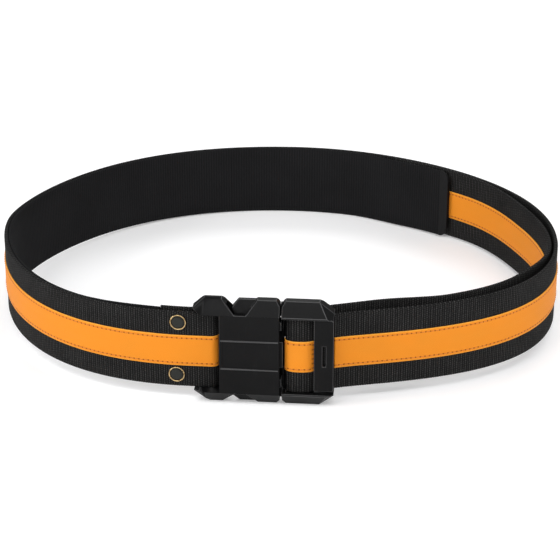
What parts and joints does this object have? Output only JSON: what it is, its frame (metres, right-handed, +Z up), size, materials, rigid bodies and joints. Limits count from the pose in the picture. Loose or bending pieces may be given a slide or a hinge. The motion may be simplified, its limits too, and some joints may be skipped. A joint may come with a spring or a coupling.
{
  "type": "work belt",
  "caption": "Webbing tool belt closed into a loop, with a side-release buckle, a sliding adjuster, a snap-fastened end flap and a lined back.",
  "frame": {"origin": "centre of the bounding box, at the height of the surface that the belt's lower edge and buckle stand on", "axes": "+X from the buckle's socket half towards its plug half, -Y out through the buckle's front, +Z up across the webbing"},
  "size_m": [0.3649, 0.308, 0.0684],
  "materials": {
    "webbing": "ribbed polyester webbing, black",
    "tape": "fine woven tape, orange, stitched along both edges",
    "lining": "soft knitted lining, black",
    "binding": "folded grosgrain binding, black",
    "buckle_plastic": "fine moulded texture, dark grey",
    "snap_cap": "satin black",
    "snap_brass": "aged"
  },
  "bodies": {
    "left_half": {"buckle_socket": "buckle_plastic", "strap_left": "webbing", "stripe_left": "tape", "lining_left": "lining", "snap_ring_upper": "snap_brass", "snap_cap_upper": "snap_cap", "snap_socket_upper": "snap_brass", "snap_ring_lower": "snap_brass", "snap_cap_lower": "snap_cap", "snap_socket_lower": "snap_brass"},
    "end_flap": {"end_flap": "webbing", "stripe_flap": "tape", "snap_stud_upper": "snap_brass", "snap_post_upper": "snap_brass", "snap_stud_lower": "snap_brass", "snap_post_lower": "snap_brass"},
    "right_half": {"strap_right": "webbing", "stripe_right": "tape", "adjuster_loop": "webbing", "stripe_loop": "tape", "strap_tail": "webbing", "stripe_tail": "tape", "lining_right": "lining", "mouth_binding": "binding", "buckle_frame": "buckle_plastic", "adjuster_bar": "buckle_plastic"},
    "upper_prong": {"prong_upper": "buckle_plastic"},
    "lower_prong": {"prong_lower": "buckle_plastic"}
  },
  "joints": [
    {"name": "belt_open", "type": "hinge", "parent": "left_half", "child": "right_half", "pos_m": [0, 0.1541, 0.025], "axis": [0, 0, 1], "range_deg": [0, 60]},
    {"name": "upper_prong_press", "type": "hinge", "parent": "right_half", "child": "upper_prong", "pos_m": [0.0135, -0.1473, 0.0502], "axis": [0, -1, 0], "range_deg": [0, 12], "stiffness_Nm_per_rad": 1.5},
    {"name": "lower_prong_press", "type": "hinge", "parent": "right_half", "child": "lower_prong", "pos_m": [0.0135, -0.1473, 0.0182], "axis": [0, 1, 0], "range_deg": [0, 12], "stiffness_Nm_per_rad": 1.5},
    {"name": "end_flap_open", "type": "hinge", "parent": "left_half", "child": "end_flap", "pos_m": [-0.0293, -0.1433, 0.034], "axis": [0, 0, -1], "range_deg": [0, 80]}
  ]
}
